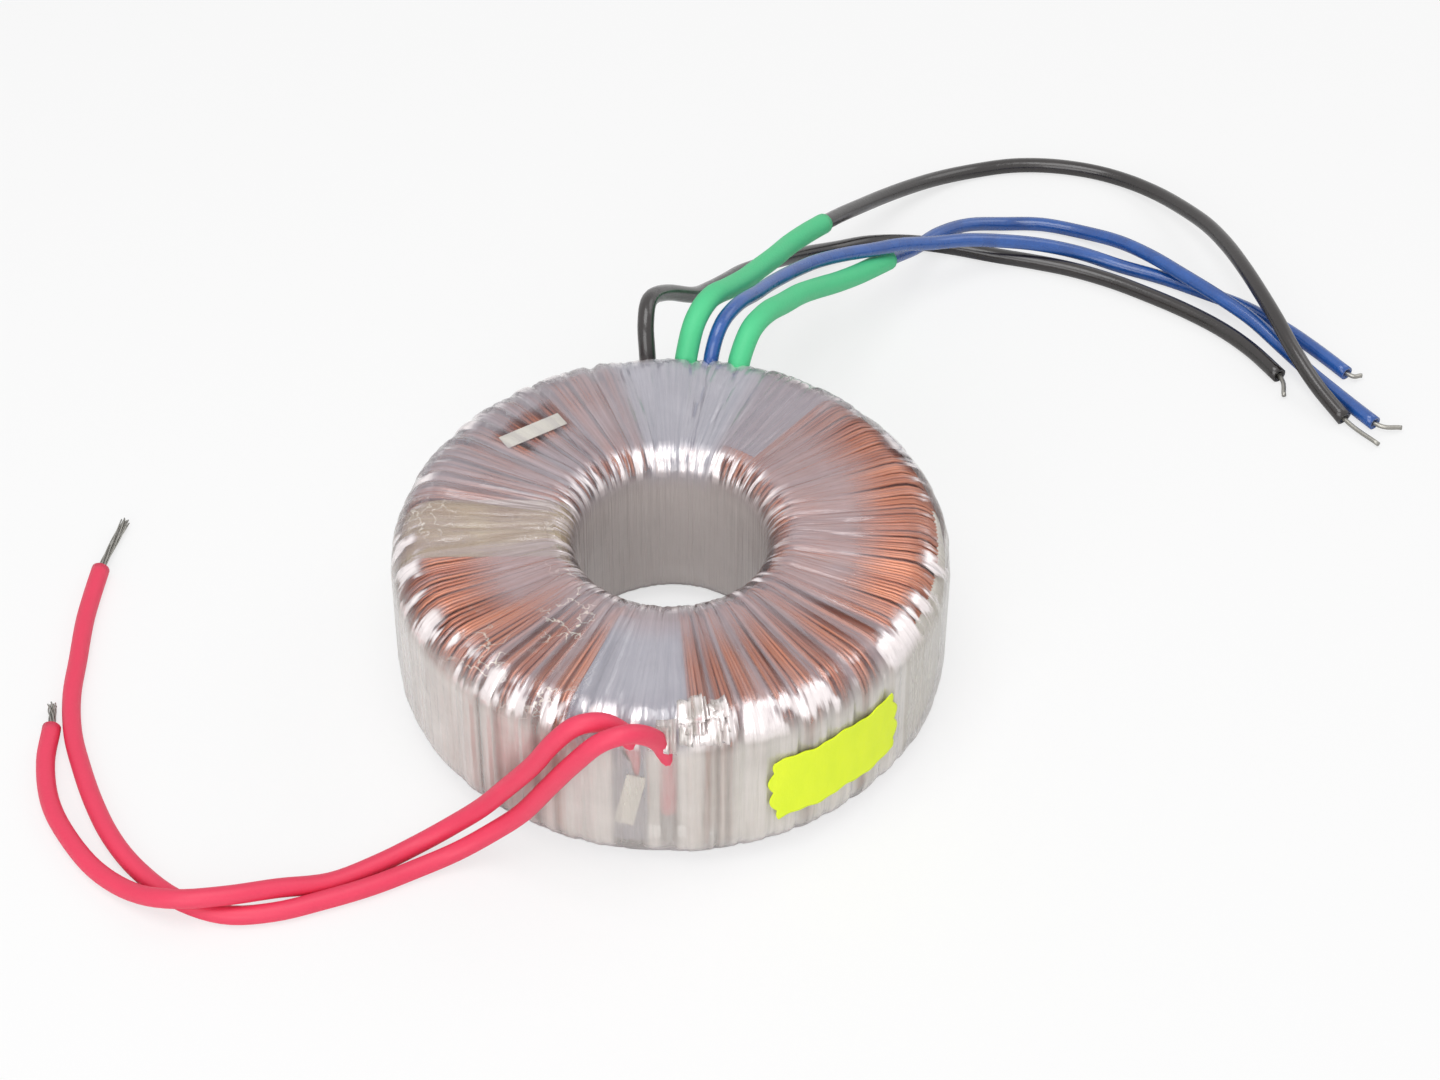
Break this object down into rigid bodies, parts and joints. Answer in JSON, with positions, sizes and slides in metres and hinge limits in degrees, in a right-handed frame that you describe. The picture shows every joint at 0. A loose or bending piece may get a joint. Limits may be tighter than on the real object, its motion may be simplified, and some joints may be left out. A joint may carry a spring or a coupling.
{
  "type": "toroidal transformer",
  "caption": "Toroidal mains transformer wrapped in clear film over copper windings, with red primary leads and black and blue sleeved secondary leads.",
  "frame": {"origin": "middle of the ring's bottom face", "axes": "+Z along the ring's axis, up; -Y towards the red primary leads"},
  "size_m": [0.1969, 0.1607, 0.0324],
  "materials": {
    "core_steel": "bare spiral-wound silicon steel strip",
    "core_tape": "dull polyester tape",
    "enamelled_copper": "enamelled copper wire, glossy",
    "interlayer_film": "clear layered polyester tape",
    "pad_sheet": "smooth grey insulating sheet",
    "anchor_film": "cream tape, wrinkled",
    "outer_film": "clear polyester film in laps, glossy",
    "paper_label": "bare white paper under film",
    "neon_label": "bright yellow-green paper",
    "red_insulation": "soft extruded insulation",
    "green_sleeving": "soft extruded sleeving",
    "black_sleeving": "glossy sleeving",
    "blue_sleeving": "glossy sleeving, mottled",
    "tinned_copper": "tinned copper, dull silver",
    "solder": "solder joint"
  },
  "bodies": {
    "root": {"core": "core_steel", "core_wrap": "core_tape", "primary_winding": "enamelled_copper", "interlayer_wrap": "interlayer_film", "secondary_winding_1": "enamelled_copper", "secondary_winding_2": "enamelled_copper", "primary_pad": "pad_sheet", "secondary_pad": "pad_sheet", "anchor_tape": "anchor_film", "rating_label": "paper_label", "top_marker": "paper_label", "side_marker": "paper_label", "outer_wrap": "outer_film", "seal_sticker": "neon_label", "primary_joint_1": "solder", "primary_joint_2": "solder", "red_lead_1": "red_insulation", "red_lead_2": "red_insulation", "red_strands_1": "tinned_copper", "red_strands_2": "tinned_copper", "black_sleeve_1": "black_sleeving", "black_sleeve_2": "black_sleeving", "blue_sleeve_1": "blue_sleeving", "blue_sleeve_2": "blue_sleeving", "green_sleeve_1": "green_sleeving", "green_sleeve_2": "green_sleeving", "black_wire_1": "tinned_copper", "black_wire_2": "tinned_copper", "blue_wire_1": "tinned_copper", "blue_wire_2": "tinned_copper"}
  },
  "joints": []
}
